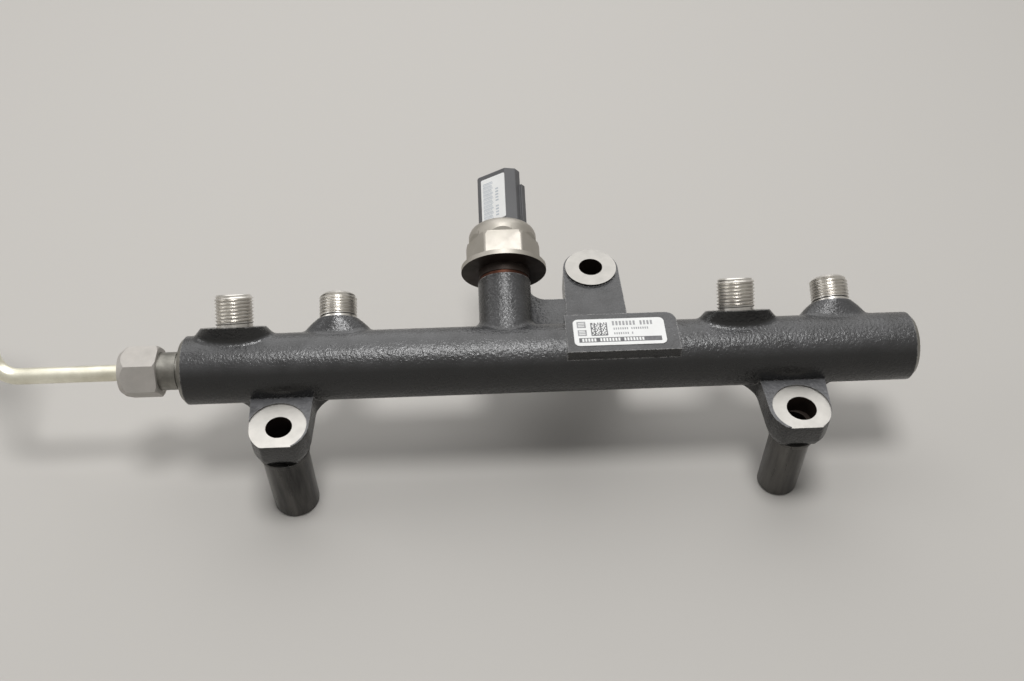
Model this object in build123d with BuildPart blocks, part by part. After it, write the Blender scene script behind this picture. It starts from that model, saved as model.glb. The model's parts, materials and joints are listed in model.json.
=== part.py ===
from build123d import *
from math import cos, radians, sin, sqrt, tan
import os

os.makedirs("parts", exist_ok=True)

# Fuel rail: a forged high-pressure tube with four injector outlets, an inlet with its feed
# pipe, a pressure sensor and three bolted lugs on spacer sleeves. Millimetres, +Z up.
# X runs along the rail from the inlet, Y to the rear. The origin is midway between the two
# front bolts, on the plane of the feet.

# ---------------------------------------------------------------- driving dimensions
fit_gap = 0.03              # clearance between seated pieces

# bolts, lugs and sleeves
bolt_spacing = 184.0        # between the two front bolt axes
rear_bolt_x = 24.8
rear_bolt_y = 75.0
lug_base = 32.4             # undersides of the lugs, on the sleeves
lug_top = 44.0              # machined seats of the front lugs
ear_seat = 45.0             # machined seat of the rear ear
lug_radius = 10.5
lug_root_half_width = 11.8  # half width where a lug meets the tube
lug_nose = 8.8              # flat front of a front lug, ahead of its bolt axis
lug_draft_height = 3.6      # tapered lower part of a lug
lug_draft_angle = 22.0
lug_corner = 2.0
spot_face_diameter = 20.8
forging_proud = 0.7         # rough forging above the machined seat of a front lug
ear_step = 1.0              # rear seat above its arm
ear_radius = 11.0
ear_root_left = 12.2        # half widths of the ear's arm where it meets the tube
ear_root_right = 12.4
ear_pad_diameter = 20.4
web_left = -17.0            # web between the ear and the sensor boss
web_back = 59.3
web_top = 43.2
web_thickness = 7.5
foot_right = -4.0           # foot of the sensor boss on the web
foot_back = 52.0
foot_top = 50.0
bolt_bore = 9.4
right_lug_bore = 10.6       # clearance hole in the right lug
right_lug_shift = 1.2       # that hole and its seat sit outboard of the sleeve
left_seat_shift = -0.6      # left seat sits outboard of its bore
spigot_diameter = 13.0      # sleeve end that locates it in the lug
spigot_length = 4.0
collar_height = 1.5
sleeve_chamfer = 0.6
sleeve_diameter = 16.9      # left and rear sleeves
collar_diameter = 18.4
slim_sleeve_diameter = 14.8  # right sleeve
slim_collar_diameter = 17.2

# rail tube
rail_y = 25.0               # rail axis behind the front bolt line
rail_z = 47.5               # rail axis above the feet
rail_diameter = 25.0
left_overhang = 18.9        # tube beyond the axis of its first outlet
right_overhang = 27.1       # tube beyond the axis of its last outlet
rail_bore = 10.0
rail_bore_end = 10.0        # solid metal left at the inlet end
end_chamfer = 1.6

# outlets and inlet, M14 fine thread
stud_diameter = 13.8        # over the thread crests
stud_chamfer = 1.0
relief_diameter = 12.8
relief_length = 1.9
stud_root = 1.0             # stud begins this far below its seat
outlet_mid_x = 0.9
outer_outlets = 220.0       # spacing of the outer pair
inner_outlets = 146.4       # spacing of the inner pair
upper_angle = 45.0          # first and third outlets, back from vertical
rear_angle = 62.0           # second and fourth outlets
upper_seat = 15.2           # spot face from the rail axis
upper_tip = 26.9
rear_seat = 17.0
rear_tip = 26.6
outlet_drilling = 2.4
inlet_length = 18.5
inlet_drilling = 3.2
seat_mouth = 10.0           # diameter of the sealing cone at a stud's tip
seat_half_angle = 30.0
blend_radius = 2.5          # forging fillets at the outlet bosses
boss_blend = 3.0            # at the sensor boss
lug_blend = 6.0             # where a lug's sides meet the tube
lug_strip = 8.0             # those blends end this far ahead of the rail axis
strip_margin = 1.0          # strip beyond the foot of those blends, inside the tube
web_blend = 7.0             # web's back edge into the sensor boss

# label facet on top of the tube
facet_left = 10.5
facet_right = 51.0
facet_width = 18.2
facet_height = 12.8         # from the rail axis
facet_corner = 4.0          # rounded back right corner
rail_label_length = 33.0
rail_label_width = 12.8
rail_label_corner = 2.0
rail_label_shift = -1.0     # from the middle of the facet
label_thickness = 0.2

# end plug, M16
plug_diameter = 16.0
plug_length = 12.0
plug_recess = 1.0           # below the end of the rail
plug_socket = 8.0           # across flats
plug_socket_depth = 6.0
plug_seat_length = 2.0      # cone that seals on the bore's shoulder

# feed pipe and union nuts
pipe_diameter = 6.0
pipe_bore = 2.6
pipe_bend_radius = 9.0
pipe_run = 50.0             # stud's tip to the corner of the rising leg
pipe_rise_angle = 37.0      # rising leg, back from vertical
pipe_rise = 38.0            # rising leg, corner to corner
pump_turn = 40.0            # turn of the last leg, outwards
pump_leg = 34.0             # last leg, corner to tip
head_diameter = 9.6         # upset sealing head
head_tip_diameter = 4.0
head_land = 1.0
nut_flats = 17.0
nut_length = 14.0
nut_overhang = 3.7          # nut beyond the tip of the stud
nut_end_diameter = 15.0     # face on the pipe side
nut_end_chamfer = 3.2
nut_mouth_diameter = 17.6   # face on the stud side
nut_mouth_chamfer = 0.8
nut_pipe_clearance = 0.08
nut_seat_width = 0.2        # ledge in the nut around the head
nut_thread_end = 0.4        # thread runs on past the tip of the stud
nut_stop_gap = 0.3          # loose nut above the end of the bend

# pressure sensor, lengths along its axis
sensor_x = -10.5
sensor_angle = 70.0
sensor_boss_diameter = 19.8
sensor_seat = 30.7          # top of the boss, from the rail axis
sensor_thread = 12.0
sensor_thread_length = 11.0
sensor_thread_chamfer = 0.8
sensor_hole_spare = 2.0     # tapped hole beyond the thread
sensor_drilling = 3.0
washer_diameter = 18.6
washer_thickness = 1.5
washer_bore = 12.6
port_collar_diameter = 19.0
port_collar_length = 3.2
port_neck_diameter = 18.0
port_neck_length = 3.4
flange_thickness = 1.8
flange_diameter = 32.2
sensor_flats = 24.5
sensor_corner = 1.2
hex_taper_length = 2.6      # the hexagon's corners draw in towards the barrel
barrel_length = 2.4         # round part above the hexagon
barrel_diameter = 25.8
lip_length = 3.9            # crimped lip
lip_diameter = 20.6
lip_hold = 1.7              # barrel goes on past the connector's base before it rolls over
housing_bore = 21.6
housing_mouth = 19.5
ledge_bore = 19.0           # below the circuit board
cell_headroom = 0.4         # between the cell and the board
cell_diameter = 9.0
cell_wall = 2.0
cell_height = 2.2
cell_membrane = 0.5
board_thickness = 1.0
board_diameter = 21.2
board_window = 6.0          # opening over the cell
spring_width = 1.6
spring_strip = 0.25
spring_length = 4.0
spring_height = 2.5
terminal_pitch = 3.8

# sensor connector
connector_turn = -35.0      # long axis turned about the sensor axis
connector_width = 16.7
connector_depth = 9.0
connector_corner = 1.6
connector_bevel = 3.0       # bevelled corners at the end with the key rib
connector_gap = 0.05        # play in the housing
connector_recess = 0.3      # base below the crimped lip
connector_base_thickness = 2.6
connector_reach = 24.1      # above the crimped lip
connector_wall = 1.0
connector_end_round = 0.6   # outer edge of the connector's end
socket_depth = 17.5
key_rib_width = 2.4
key_rib_height = 1.1
key_rib_end = 6.5           # short of the connector's end
key_rib_shift = 2.0         # off the middle of the end, away from the label
terminal_width = 1.5
terminal_thickness = 0.8
terminal_reach = 10.0       # blade above the floor of the socket
terminal_pad = 2.6
terminal_pad_thickness = 0.3
terminal_chamfer = 0.3
o_ring_section = 1.4
o_ring_play = 0.1           # groove wider than the ring, each side
sensor_label_width = 11.0
sensor_label_height = 19.3
sensor_label_drop = 11.9    # its middle below the connector's end
sensor_label_shift = -0.3
sensor_label_corner = 0.6

# ---------------------------------------------------------------- derived places
rail_radius = rail_diameter / 2
stud_radius = stud_diameter / 2
bolt_x = bolt_spacing / 2
forged_top = lug_top + forging_proud
ear_top = ear_seat - ear_step
upper_outlets = (outlet_mid_x - outer_outlets / 2, outlet_mid_x + inner_outlets / 2)
rear_outlets = (outlet_mid_x - inner_outlets / 2, outlet_mid_x + outer_outlets / 2)
rail_left = upper_outlets[0] - left_overhang
rail_right = rear_outlets[1] + right_overhang
inlet_tip = rail_left - inlet_length
pipe_corner_x = inlet_tip - pipe_run
nut_corner = nut_flats / cos(radians(30))
plug_thread_end = plug_recess + plug_length - plug_seat_length
washer_top = sensor_seat + washer_thickness
flange_base = washer_top + port_collar_length
port_top = flange_base + port_neck_length
cell_top = port_top + cell_height
board_base = cell_top + cell_headroom
board_top = board_base + board_thickness
pad_base = board_top + spring_height
connector_base = pad_base + terminal_pad_thickness
connector_base_top = connector_base + connector_base_thickness
barrel_top = connector_base_top + lip_hold
hex_top = barrel_top - barrel_length
hex_taper = hex_top - hex_taper_length
lip_top = barrel_top + lip_length
connector_top = lip_top + connector_reach
socket_bottom = connector_top - socket_depth
sensor_cone = (sensor_thread - sensor_drilling) / 2
sensor_hole_end = sensor_seat - sensor_thread_length - sensor_hole_spare - sensor_cone


def radial_plane(x, angle, height=0.0, turn=0.0):
    """Plane across a line that leaves the rail axis at x, tipped back from vertical."""
    lean = radians(angle)
    spin = radians(turn)
    centre = (x, rail_y + height * sin(lean), rail_z + height * cos(lean))
    across = (cos(spin), sin(spin) * cos(lean), -sin(spin) * sin(lean))
    return Plane(origin=centre, x_dir=across, z_dir=(0, sin(lean), cos(lean)))


def sensor_plane(height, turn=0.0):
    return radial_plane(sensor_x, sensor_angle, height, turn)


def section_plane(plane):
    """Plane through the axis of a turned form: its x is the radius, its y runs along the axis."""
    return Plane(origin=plane.origin, x_dir=plane.x_dir, z_dir=-plane.y_dir)


facet_plane = Plane(((facet_left + facet_right) / 2, rail_y, rail_z + facet_height))
plug_plane = Plane(origin=(rail_right, rail_y, rail_z), x_dir=(0, 1, 0), z_dir=(1, 0, 0))
inlet_plane = Plane(origin=(rail_left, rail_y, rail_z), x_dir=(0, 1, 0), z_dir=(-1, 0, 0))
stud_places = [(inlet_plane, 0.0, inlet_length, inlet_drilling)]
for x in upper_outlets:
    stud_places.append((radial_plane(x, upper_angle), upper_seat, upper_tip, outlet_drilling))
for x in rear_outlets:
    stud_places.append((radial_plane(x, rear_angle), rear_seat, rear_tip, outlet_drilling))

# left front, right front and rear: x, y, bore in the lug, shift of that bore
lug_places = ((-bolt_x, 0, bolt_bore, 0), (bolt_x, 0, right_lug_bore, right_lug_shift),
              (rear_bolt_x, rear_bolt_y, bolt_bore, 0))

# ---------------------------------------------------------------- rail body, one forging
# outlines of the front lugs, at the height where their sides begin to draw in; above it each
# lug is blended into a strip that lies within the tube
lug_outlines = []
lug_roots = []
for x, shift in ((-bolt_x, 0), (bolt_x, right_lug_shift)):
    with BuildSketch(Plane.XY.offset(lug_base + lug_draft_height)) as lug_outline:
        with Locations((x, 0), (x + shift, 0)):
            Circle(lug_radius)
        with BuildLine():
            Polyline((x - lug_radius, 0), (x + shift + lug_radius, 0),
                     (x + shift + lug_root_half_width, rail_y), (x - lug_root_half_width, rail_y),
                     close=True)
        make_face()
        with Locations((x, -lug_nose - lug_radius)):
            Rectangle(4 * lug_radius, 2 * lug_radius, mode=Mode.SUBTRACT)
        fillet(lug_outline.vertices().group_by(Axis.Y)[0], lug_corner)
    lug_outlines.append(lug_outline.sketch)
    with BuildSketch(Plane.XY.offset(lug_base + lug_draft_height)) as lug_root:
        add(lug_outline.sketch)
        with Locations((x + shift / 2, rail_y - lug_strip / 2)):
            Rectangle(2 * (lug_root_half_width + lug_blend + strip_margin) + shift, lug_strip)
        strip_corners = lug_root.vertices().filter_by_position(
            Axis.Y, rail_y - lug_strip - 0.01, rail_y - lug_strip + 0.01)
        fillet(strip_corners.sort_by(Axis.X)[1:3], lug_blend)
    lug_roots.append(lug_root.sketch)

with BuildPart() as rail_body:
    # tube, turned at both ends
    with BuildSketch(Plane(origin=(rail_left, rail_y, rail_z), x_dir=(0, 1, 0), z_dir=(1, 0, 0))):
        Circle(rail_radius)
    extrude(amount=rail_right - rail_left)
    chamfer(rail_body.faces().sort_by(Axis.X)[0].edges(), end_chamfer)
    chamfer(rail_body.faces().sort_by(Axis.X)[-1].edges(), end_chamfer)

    # upper outlet bosses: wide spot faces on lumps with upright fronts
    upper_sections = ((8.0, 18.2, 7.6, 0.0), (12.0, 14.6, 9.0, 1.2), (upper_seat, 11.6, 10.5, 2.4))
    for x in upper_outlets:
        for height, half_length, half_depth, front_shift in upper_sections:
            with BuildSketch(radial_plane(x, upper_angle, height)):
                with Locations((0, -front_shift)):
                    Ellipse(half_length, half_depth)
        loft()
        fillet(rail_body.edges(Select.NEW), blend_radius)

    # rear outlet bosses: domes that narrow to the stud
    rear_sections = ((6.0, 16.6, 7.4), (11.0, 13.6, 7.4), (14.6, 10.6, 7.4), (rear_seat, 7.8, 7.3))
    for x in rear_outlets:
        for height, half_length, half_depth in rear_sections:
            with BuildSketch(radial_plane(x, rear_angle, height)):
                Ellipse(half_length, half_depth)
        loft()
        fillet(rail_body.edges(Select.NEW), blend_radius)

    # sensor boss
    with BuildSketch(sensor_plane(0)):
        Circle(sensor_boss_diameter / 2)
    extrude(amount=sensor_seat)
    fillet(rail_body.edges(Select.NEW), boss_blend)

    # front lugs with machined seats; the right one reaches outboard of its sleeve
    for root in lug_roots:
        extrude(root, amount=forged_top - lug_base - lug_draft_height)
    for outline in lug_outlines:
        extrude(outline, amount=lug_draft_height, dir=(0, 0, -1), taper=lug_draft_angle)
    with BuildSketch(Plane.XY.offset(lug_top)):
        with Locations((left_seat_shift - bolt_x, 0), (bolt_x + right_lug_shift, 0)):
            Circle(spot_face_diameter / 2)
    extrude(amount=2 * forging_proud, mode=Mode.SUBTRACT)

    # rear ear on its arm
    with BuildSketch(Plane.XY.offset(lug_base)):
        with Locations((rear_bolt_x, rear_bolt_y)):
            Circle(ear_radius)
        with BuildLine():
            Polyline((rear_bolt_x - ear_radius, rear_bolt_y), (rear_bolt_x + ear_radius, rear_bolt_y),
                     (rear_bolt_x + ear_root_right, rail_y), (rear_bolt_x - ear_root_left, rail_y),
                     close=True)
        make_face()
    extrude(amount=ear_top - lug_base)
    with BuildSketch(Plane.XY.offset(ear_top)):
        with Locations((rear_bolt_x, rear_bolt_y)):
            Circle(ear_pad_diameter / 2)
    extrude(amount=ear_step)

    # web from the ear to the sensor boss, and the boss's foot on it
    boss_side = sensor_x + sensor_boss_diameter / 2
    with BuildSketch(Plane.XY.offset(web_top - web_thickness)):
        with BuildLine():
            Polyline((boss_side, web_back + web_blend), (web_left, web_back + web_blend),
                     (web_left, rail_y), (rear_bolt_x, rail_y), (rear_bolt_x, web_back),
                     (boss_side + web_blend, web_back))
            RadiusArc((boss_side + web_blend, web_back), (boss_side, web_back + web_blend), web_blend)
        make_face()
    extrude(amount=web_thickness)
    with BuildSketch(Plane.XY.offset(web_top)):
        with BuildLine():
            Polyline((web_left, rail_y), (foot_right, rail_y), (foot_right, foot_back),
                     (web_left, foot_back), close=True)
        make_face()
    extrude(amount=foot_top - web_top)

    # label facet on top of the tube
    with BuildSketch(facet_plane) as facet:
        Rectangle(facet_right - facet_left, facet_width)
        fillet(facet.vertices().group_by(Axis.Y)[-1].sort_by(Axis.X)[-1], facet_corner)
    extrude(amount=-facet_height)

    # turned studs, each with a relief at its base
    for plane, seat, tip, drilling in stud_places:
        with BuildSketch(section_plane(plane)):
            with BuildLine():
                Polyline((0, seat - stud_root), (relief_diameter / 2, seat - stud_root),
                         (relief_diameter / 2, seat + relief_length),
                         (stud_radius, seat + relief_length), (stud_radius, tip - stud_chamfer),
                         (stud_radius - stud_chamfer, tip), (0, tip), close=True)
            make_face()
        revolve(axis=Axis(plane.origin, plane.z_dir))

    # main bore from the plugged end, with the plug's thread and sealing cone
    with BuildSketch(section_plane(plug_plane)):
        with BuildLine():
            Polyline((0, 0), (plug_diameter / 2, 0), (plug_diameter / 2, -plug_thread_end),
                     (rail_bore / 2, -plug_thread_end - plug_seat_length),
                     (rail_bore / 2, rail_left + rail_bore_end - rail_right),
                     (0, rail_left + rail_bore_end - rail_right), close=True)
        make_face()
    revolve(axis=Axis(plug_plane.origin, plug_plane.z_dir), mode=Mode.SUBTRACT)

    # sealing cone and drilling of every stud, in to the bore
    for plane, seat, tip, drilling in stud_places:
        cone_depth = (seat_mouth - drilling) / 2 / tan(radians(seat_half_angle))
        depth = -rail_bore_end - rail_bore / 2 if plane is inlet_plane else 0
        with BuildSketch(section_plane(plane)):
            with BuildLine():
                Polyline((0, tip), (seat_mouth / 2, tip), (drilling / 2, tip - cone_depth),
                         (drilling / 2, depth), (0, depth), close=True)
            make_face()
        revolve(axis=Axis(plane.origin, plane.z_dir), mode=Mode.SUBTRACT)

    # thread and drilling for the pressure sensor
    with BuildSketch(section_plane(sensor_plane(0))):
        with BuildLine():
            Polyline((0, sensor_seat), (sensor_thread / 2, sensor_seat),
                     (sensor_thread / 2, sensor_hole_end + sensor_cone),
                     (sensor_drilling / 2, sensor_hole_end), (sensor_drilling / 2, 0), (0, 0),
                     close=True)
        make_face()
    revolve(axis=Axis(sensor_plane(0).origin, sensor_plane(0).z_dir), mode=Mode.SUBTRACT)

    # bolt bores, and counterbores below that take the sleeves' spigots
    for x, y, bore, shift in lug_places:
        with BuildSketch(Plane.XY.offset(lug_base)):
            with Locations((x + shift, y)):
                Circle(bore / 2)
        extrude(amount=ear_seat, mode=Mode.SUBTRACT)
        with BuildSketch(Plane.XY.offset(lug_base)):
            with Locations((x, y)):
                Circle(spigot_diameter / 2 + fit_gap)
        extrude(amount=spigot_length + fit_gap, mode=Mode.SUBTRACT)
rail_body.part.label = "rail_body"
export_step(rail_body.part, "parts/rail_body.step")

# ---------------------------------------------------------------- end plug
with BuildPart() as end_plug:
    with BuildSketch(section_plane(plug_plane)):
        with BuildLine():
            Polyline((0, -plug_recess), (plug_diameter / 2 - fit_gap, -plug_recess),
                     (plug_diameter / 2 - fit_gap, -plug_thread_end),
                     (rail_bore / 2 - fit_gap, -plug_thread_end - plug_seat_length + fit_gap),
                     (0, -plug_thread_end - plug_seat_length + fit_gap), close=True)
        make_face()
    revolve(axis=Axis(plug_plane.origin, plug_plane.z_dir))
    with BuildSketch(plug_plane.offset(-plug_recess)):
        RegularPolygon(plug_socket / 2, 6, major_radius=False)
    extrude(amount=-plug_socket_depth, mode=Mode.SUBTRACT)
end_plug.part.label = "end_plug"
export_step(end_plug.part, "parts/end_plug.step")


# ---------------------------------------------------------------- spacer sleeves
def sleeve(x, y, diameter, collar):
    """Tube from the floor to a lug, with a collar under it and a spigot pressed into it."""
    with BuildPart() as spacer:
        with BuildSketch(Plane.XY):
            with Locations((x, y)):
                Circle(diameter / 2)
        extrude(amount=lug_base)
        with BuildSketch(Plane.XY.offset(lug_base - collar_height)):
            with Locations((x, y)):
                Circle(collar / 2)
        extrude(amount=collar_height)
        chamfer(spacer.faces().sort_by(Axis.Z)[0].edges(), sleeve_chamfer)
        with BuildSketch(Plane.XY.offset(lug_base)):
            with Locations((x, y)):
                Circle(spigot_diameter / 2)
        extrude(amount=spigot_length)
        with BuildSketch(Plane.XY):
            with Locations((x, y)):
                Circle(bolt_bore / 2)
        extrude(amount=lug_base + spigot_length, mode=Mode.SUBTRACT)
    return spacer.part


sleeves = {
    "sleeve_front_left": sleeve(-bolt_x, 0, sleeve_diameter, collar_diameter),
    "sleeve_front_right": sleeve(bolt_x, 0, slim_sleeve_diameter, slim_collar_diameter),
    "sleeve_rear": sleeve(rear_bolt_x, rear_bolt_y, sleeve_diameter, collar_diameter),
}
for name, part in sleeves.items():
    part.label = name
    export_step(part, f"parts/{name}.step")

# ---------------------------------------------------------------- feed pipe
# a sealing head is drawn from the tip of its stud, with the radius as x; y runs into the stud
cone_gap = fit_gap / cos(radians(seat_half_angle))
head_radius = head_diameter / 2
head_base = (seat_mouth / 2 - cone_gap - head_radius) / tan(radians(seat_half_angle))
head_tip = head_base + (head_diameter - head_tip_diameter) / 2 / tan(radians(seat_half_angle))
head_back = head_base - head_land
head_foot = head_back - (head_diameter - pipe_diameter) / 2

rise = Vector(0, sin(radians(pipe_rise_angle)), cos(radians(pipe_rise_angle)))
pump_way = rise * cos(radians(pump_turn)) - Vector(sin(radians(pump_turn)), 0, 0)
rail_corner = Vector(pipe_corner_x, rail_y, rail_z)
pump_corner = rail_corner + rise * pipe_rise
pump_tip = pump_corner + pump_way * pump_leg
rail_seat_start = Vector(inlet_tip + head_foot, rail_y, rail_z)
pump_seat_start = pump_tip - pump_way * (head_tip - head_foot)
inlet_seat = Plane(origin=(inlet_tip, rail_y, rail_z), x_dir=(0, 1, 0), z_dir=(1, 0, 0))
pump_seat = Plane(origin=pump_tip - pump_way * head_tip, x_dir=(0, 1, 0), z_dir=pump_way)

with BuildPart() as feed_pipe:
    with BuildLine() as pipe_route:
        FilletPolyline(rail_seat_start, rail_corner, pump_corner, pump_seat_start,
                       radius=pipe_bend_radius)
    with BuildSketch(Plane(origin=rail_seat_start, x_dir=(0, 1, 0), z_dir=(-1, 0, 0))):
        Circle(pipe_diameter / 2)
    sweep(path=pipe_route.line)
    for seat in (inlet_seat, pump_seat):
        with BuildSketch(section_plane(seat)):
            with BuildLine():
                Polyline((0, head_tip), (head_tip_diameter / 2, head_tip), (head_radius, head_base),
                         (head_radius, head_back), (pipe_diameter / 2, head_foot),
                         (0, head_foot), close=True)
            make_face()
        revolve(axis=Axis(seat.origin, seat.z_dir))
    with BuildLine() as bore_route:
        FilletPolyline(inlet_seat.origin + inlet_seat.z_dir * head_tip, rail_corner, pump_corner,
                       pump_tip, radius=pipe_bend_radius)
    with BuildSketch(Plane(origin=bore_route.line @ 0, x_dir=(0, 1, 0), z_dir=(-1, 0, 0))):
        Circle(pipe_bore / 2)
    sweep(path=bore_route.line, mode=Mode.SUBTRACT)
feed_pipe.part.label = "feed_pipe"
export_step(feed_pipe.part, "parts/feed_pipe.step")


# ---------------------------------------------------------------- union nuts
def union_nut(seat):
    """Hexagon nut around a sealing head whose stud's tip lies on the seat plane."""
    nut_mouth = nut_length - nut_overhang
    cone_foot = head_foot - fit_gap * sqrt(2)
    ledge = head_radius + nut_seat_width
    with BuildPart() as nut:
        with BuildSketch(seat.offset(-nut_overhang)):
            RegularPolygon(nut_flats / 2, 6, major_radius=False)
        extrude(amount=nut_length)
        # turned chamfers on both faces
        with BuildSketch(section_plane(seat)):
            with BuildLine():
                Polyline((0, -nut_overhang), (nut_end_diameter / 2, -nut_overhang),
                         (nut_corner / 2, nut_end_chamfer - nut_overhang),
                         (nut_corner / 2, nut_mouth - nut_mouth_chamfer),
                         (nut_mouth_diameter / 2, nut_mouth), (0, nut_mouth), close=True)
            make_face()
        revolve(axis=Axis(seat.origin, seat.z_dir), mode=Mode.INTERSECT)
        # thread, ledge around the head, cone behind the head and hole for the pipe
        with BuildSketch(section_plane(seat)):
            with BuildLine():
                Polyline((0, nut_mouth), (stud_radius + fit_gap, nut_mouth),
                         (stud_radius + fit_gap, -nut_thread_end), (ledge, -nut_thread_end),
                         (ledge, cone_foot + ledge - pipe_diameter / 2),
                         (pipe_diameter / 2 + nut_pipe_clearance, cone_foot + nut_pipe_clearance),
                         (pipe_diameter / 2 + nut_pipe_clearance, -nut_overhang),
                         (0, -nut_overhang), close=True)
            make_face()
        revolve(axis=Axis(seat.origin, seat.z_dir), mode=Mode.SUBTRACT)
    return nut.part


# the pump-end nut has slid down its leg to the bend
pump_leg_start = pump_corner + pump_way * pipe_bend_radius * tan(radians(pump_turn / 2))
loose_seat = Plane(origin=pump_leg_start + pump_way * (nut_stop_gap + nut_overhang),
                   x_dir=(0, 1, 0), z_dir=pump_way)
nut_travel = (pump_seat.origin - loose_seat.origin).length
for name, seat in (("union_nut_rail", inlet_seat), ("union_nut_pump", loose_seat)):
    nut = union_nut(seat)
    nut.label = name
    export_step(nut, f"parts/{name}.step")

# ---------------------------------------------------------------- pressure sensor
sensor_axis = Axis(sensor_plane(0).origin, sensor_plane(0).z_dir)
thread_radius = sensor_thread / 2 - fit_gap
stem_end = sensor_seat - sensor_thread_length
neck_radius = port_neck_diameter / 2 - fit_gap

# copper sealing washer
with BuildPart() as sensor_seal_washer:
    with BuildSketch(sensor_plane(sensor_seat)):
        Circle(washer_diameter / 2)
        Circle(washer_bore / 2, mode=Mode.SUBTRACT)
    extrude(amount=washer_thickness)
sensor_seal_washer.part.label = "sensor_seal_washer"
export_step(sensor_seal_washer.part, "parts/sensor_seal_washer.step")

# pressure port: threaded stem, collar on the washer and neck that carries the housing
with BuildPart() as sensor_port:
    with BuildSketch(section_plane(sensor_plane(0))):
        with BuildLine():
            Polyline((sensor_drilling / 2, stem_end), (thread_radius - sensor_thread_chamfer, stem_end),
                     (thread_radius, stem_end + sensor_thread_chamfer), (thread_radius, washer_top),
                     (port_collar_diameter / 2, washer_top), (port_collar_diameter / 2, flange_base),
                     (neck_radius, flange_base), (neck_radius, port_top),
                     (sensor_drilling / 2, port_top), close=True)
        make_face()
    revolve(axis=sensor_axis)
sensor_port.part.label = "sensor_port"
export_step(sensor_port.part, "parts/sensor_port.step")

# housing: flange, hexagon and a round barrel rolled over to crimp the connector in
hex_radius = sensor_flats / 2 / cos(radians(30))
with BuildPart() as sensor_housing:
    with BuildSketch(sensor_plane(flange_base)):
        Circle(flange_diameter / 2)
    extrude(amount=flange_thickness)
    with BuildSketch(sensor_plane(flange_base)) as hexagon:
        RegularPolygon(sensor_flats / 2, 6, major_radius=False)
        fillet(hexagon.vertices(), sensor_corner)
    extrude(amount=hex_top - flange_base)
    with BuildSketch(sensor_plane(hex_top)):
        Circle(barrel_diameter / 2)
    extrude(amount=lip_top - hex_top)
    with BuildSketch(section_plane(sensor_plane(0))):
        with BuildLine():
            Polyline((0, lip_top), (0, flange_base), (flange_diameter / 2, flange_base),
                     (flange_diameter / 2, hex_taper), (hex_radius, hex_taper),
                     (barrel_diameter / 2, barrel_top))
            TangentArc((barrel_diameter / 2, barrel_top), (lip_diameter / 2, lip_top), tangent=(0, 1))
            Line((lip_diameter / 2, lip_top), (0, lip_top))
        make_face()
    revolve(axis=sensor_axis, mode=Mode.INTERSECT)
    with BuildSketch(section_plane(sensor_plane(0))):
        with BuildLine():
            Polyline((0, flange_base), (port_neck_diameter / 2, flange_base),
                     (port_neck_diameter / 2, port_top), (ledge_bore / 2, port_top),
                     (ledge_bore / 2, board_base), (housing_bore / 2, board_base),
                     (housing_bore / 2, connector_base_top), (housing_mouth / 2, connector_base_top),
                     (housing_mouth / 2, lip_top), (0, lip_top), close=True)
        make_face()
    revolve(axis=sensor_axis, mode=Mode.SUBTRACT)
sensor_housing.part.label = "sensor_housing"
export_step(sensor_housing.part, "parts/sensor_housing.step")

# measuring cell: thick rim on the port, thin membrane on top
with BuildPart() as pressure_cell:
    with BuildSketch(sensor_plane(port_top)):
        Circle(cell_diameter / 2)
    extrude(amount=cell_height)
    with BuildSketch(sensor_plane(port_top)):
        Circle(cell_diameter / 2 - cell_wall)
    extrude(amount=cell_height - cell_membrane, mode=Mode.SUBTRACT)
pressure_cell.part.label = "pressure_cell"
export_step(pressure_cell.part, "parts/pressure_cell.step")

# circuit board on the housing's ledge, open over the cell
with BuildPart() as circuit_board:
    with BuildSketch(sensor_plane(board_base)):
        Circle(board_diameter / 2)
        with Locations((0, board_diameter / 4)):
            Circle(board_window / 2, mode=Mode.SUBTRACT)
    extrude(amount=board_thickness)
circuit_board.part.label = "circuit_board"
export_step(circuit_board.part, "parts/circuit_board.step")

# contact springs, open rings of strip between the board and the terminals' pads
terminal_places = [position * terminal_pitch for position in (-1, 0, 1)]
connector_plane = sensor_plane(0, connector_turn)
for number, place in enumerate(terminal_places, start=1):
    across = Plane(origin=connector_plane.origin + connector_plane.x_dir * (place - spring_width / 2)
                   + connector_plane.z_dir * (board_top + spring_height / 2),
                   x_dir=connector_plane.y_dir, z_dir=connector_plane.x_dir)
    with BuildPart() as contact_spring:
        with BuildSketch(across):
            SlotOverall(spring_length, spring_height)
            SlotOverall(spring_length - 2 * spring_strip, spring_height - 2 * spring_strip,
                        mode=Mode.SUBTRACT)
            with Locations((spring_length / 2, 0)):
                Rectangle(spring_height, spring_height - 2 * spring_strip, mode=Mode.SUBTRACT)
        extrude(amount=spring_width)
    contact_spring.part.label = f"contact_spring_{number}"
    export_step(contact_spring.part, f"parts/contact_spring_{number}.step")

# terminals: a pad under the connector and a blade in its socket
for number, place in enumerate(terminal_places, start=1):
    with BuildPart() as terminal:
        with BuildSketch(sensor_plane(pad_base, connector_turn)):
            with Locations((place, 0)):
                Rectangle(terminal_pad, terminal_pad)
        extrude(amount=terminal_pad_thickness)
        with BuildSketch(sensor_plane(connector_base, connector_turn)):
            with Locations((place, 0)):
                Rectangle(terminal_width, terminal_thickness)
        extrude(amount=socket_bottom + terminal_reach - connector_base)
        chamfer(terminal.faces().sort_by(sensor_axis)[-1].edges(), terminal_chamfer)
    terminal.part.label = f"terminal_{number}"
    export_step(terminal.part, f"parts/terminal_{number}.step")

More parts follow.
